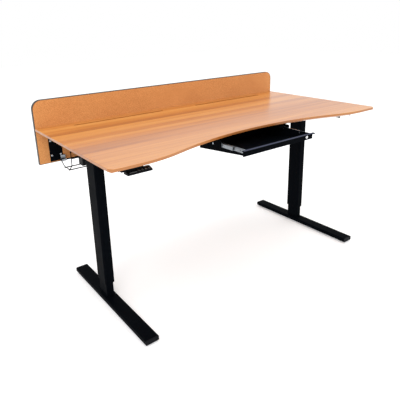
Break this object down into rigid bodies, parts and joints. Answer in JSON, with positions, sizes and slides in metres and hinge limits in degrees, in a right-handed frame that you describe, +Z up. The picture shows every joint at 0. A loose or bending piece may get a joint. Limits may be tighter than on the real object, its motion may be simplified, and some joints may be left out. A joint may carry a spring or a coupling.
{
  "type": "height adjustable standing desk",
  "caption": "Height adjustable standing desk with a scooped wooden top, two lifting columns, a cork rear panel, a cable basket, a shallow drawer and a hand control.",
  "frame": {"origin": "on the floor under the middle of the desk's overall box, with the drawer as stored", "axes": "+X to the user's right as they sit at the desk, +Y away from the user towards the rear panel, +Z up"},
  "size_m": [1.524, 0.815, 0.882],
  "materials": {
    "bamboo": "satin lacquered strips",
    "board": "raw board",
    "cork": "fine grained cork",
    "edging": "matt",
    "black_steel": "fine powder coat",
    "zinc": "zinc plated",
    "screw_steel": "bright plated",
    "chrome": "polished",
    "cast_alloy": "die cast",
    "nylon": "matt",
    "black_plastic": "fine texture",
    "gloss_black": "gloss",
    "rubber_foot": "matt",
    "spindle_steel": "ground"
  },
  "bodies": {
    "left_base": {"left_foot_beam": "black_steel", "left_foot_caps": "black_plastic", "left_inner_tube": "black_steel", "left_spindle_nut": "nylon"},
    "right_base": {"right_foot_beam": "black_steel", "right_foot_caps": "black_plastic", "right_inner_tube": "black_steel", "right_spindle_nut": "nylon"},
    "left_spindle_body": {"left_spindle": "spindle_steel"},
    "right_spindle_body": {"right_spindle": "spindle_steel"},
    "drawer": {"drawer_front": "black_steel", "drawer_tray": "black_steel", "slide_inner_members": "zinc", "tray_rivets": "screw_steel", "lock_body": "chrome"},
    "drawer_middle": {"slide_middle_members": "zinc"},
    "lock": {"lock_cylinder": "chrome", "lock_cam": "zinc"},
    "left_front_glide_body": {"left_front_glide": "rubber_foot"},
    "left_rear_glide_body": {"left_rear_glide": "rubber_foot"},
    "right_front_glide_body": {"right_front_glide": "rubber_foot"},
    "right_rear_glide_body": {"right_rear_glide": "rubber_foot"},
    "key_memory_one": {"button_memory_one": "gloss_black"},
    "key_memory_two": {"button_memory_two": "gloss_black"},
    "key_down": {"button_down": "gloss_black"},
    "key_up": {"button_up": "gloss_black"},
    "top": {"desktop": "bamboo", "panel_core": "board", "panel_cork_front": "cork", "panel_cork_rear": "cork", "panel_edging": "edging", "panel_bracket_left": "black_steel", "panel_bracket_middle": "black_steel", "panel_bracket_right": "black_steel", "panel_bracket_screws": "screw_steel", "cable_basket": "black_steel", "basket_hooks": "zinc", "control_box": "black_plastic", "control_box_inlet": "gloss_black", "crossbar": "black_steel", "desktop_screws": "screw_steel", "lock_strike": "black_steel", "left_drawer_hanger": "black_steel", "right_drawer_hanger": "black_steel", "slide_outer_members": "zinc", "hanger_rivets": "screw_steel", "keypad_mount": "black_plastic", "keypad_housing": "black_plastic", "keypad_display": "gloss_black", "left_side_bracket": "black_steel", "left_gear_housing": "cast_alloy", "left_motor": "spindle_steel", "left_outer_tube": "black_steel", "left_column_collar": "nylon", "right_side_bracket": "black_steel", "right_gear_housing": "cast_alloy", "right_motor": "spindle_steel", "right_outer_tube": "black_steel", "right_column_collar": "nylon"}
  },
  "joints": [
    {"name": "left_lift", "type": "slide", "parent": "left_base", "child": "top", "axis": [0, 0, 1], "range_m": [-0.055, 0.43]},
    {"name": "right_lift", "type": "slide", "parent": "top", "child": "right_base", "axis": [0, 0, -1], "range_m": [-0.055, 0.43]},
    {"name": "left_spindle_turn", "type": "hinge", "parent": "top", "child": "left_spindle_body", "pos_m": [-0.64, 0.0445, 0.4], "axis": [0, 0, 1], "range_deg": [-1670, 12920]},
    {"name": "right_spindle_turn", "type": "hinge", "parent": "top", "child": "right_spindle_body", "pos_m": [0.64, 0.0445, 0.4], "axis": [0, 0, 1], "range_deg": [-1670, 12920]},
    {"name": "drawer_slide", "type": "slide", "parent": "top", "child": "drawer", "axis": [0, -1, 0], "range_m": [-0.132, 0.098]},
    {"name": "drawer_middle_slide", "type": "slide", "parent": "top", "child": "drawer_middle", "axis": [0, -1, 0], "range_m": [-0.066, 0.049]},
    {"name": "lock_turn", "type": "hinge", "parent": "drawer", "child": "lock", "pos_m": [0.172, -0.39, 0.704], "axis": [0, 1, 0], "range_deg": [0, 90]},
    {"name": "press_memory_one", "type": "slide", "parent": "top", "child": "key_memory_one", "axis": [0, 0, -1], "range_m": [0, 0.001], "stiffness_N_per_m": 800},
    {"name": "press_memory_two", "type": "slide", "parent": "top", "child": "key_memory_two", "axis": [0, 0, -1], "range_m": [0, 0.001], "stiffness_N_per_m": 800},
    {"name": "press_down", "type": "slide", "parent": "top", "child": "key_down", "axis": [0, 0, -1], "range_m": [0, 0.001], "stiffness_N_per_m": 800},
    {"name": "press_up", "type": "slide", "parent": "top", "child": "key_up", "axis": [0, 0, -1], "range_m": [0, 0.001], "stiffness_N_per_m": 800},
    {"name": "left_front_glide_turn", "type": "hinge", "parent": "left_base", "child": "left_front_glide_body", "pos_m": [-0.64, -0.308, 0], "axis": [0, 0, 1], "range_deg": [-180, 180]},
    {"name": "left_rear_glide_turn", "type": "hinge", "parent": "left_base", "child": "left_rear_glide_body", "pos_m": [-0.64, 0.3, 0], "axis": [0, 0, 1], "range_deg": [-180, 180]},
    {"name": "right_front_glide_turn", "type": "hinge", "parent": "right_base", "child": "right_front_glide_body", "pos_m": [0.64, -0.308, 0], "axis": [0, 0, 1], "range_deg": [-180, 180]},
    {"name": "right_rear_glide_turn", "type": "hinge", "parent": "right_base", "child": "right_rear_glide_body", "pos_m": [0.64, 0.3, 0], "axis": [0, 0, 1], "range_deg": [-180, 180]}
  ],
  "couplings": [
    {"joint": "right_lift", "follows": "left_lift", "ratio": 1},
    {"joint": "left_spindle_turn", "follows": "left_lift", "rad_per_m": 523.6},
    {"joint": "right_spindle_turn", "follows": "left_lift", "rad_per_m": 523.6},
    {"joint": "drawer_middle_slide", "follows": "drawer_slide", "ratio": 0.5}
  ]
}
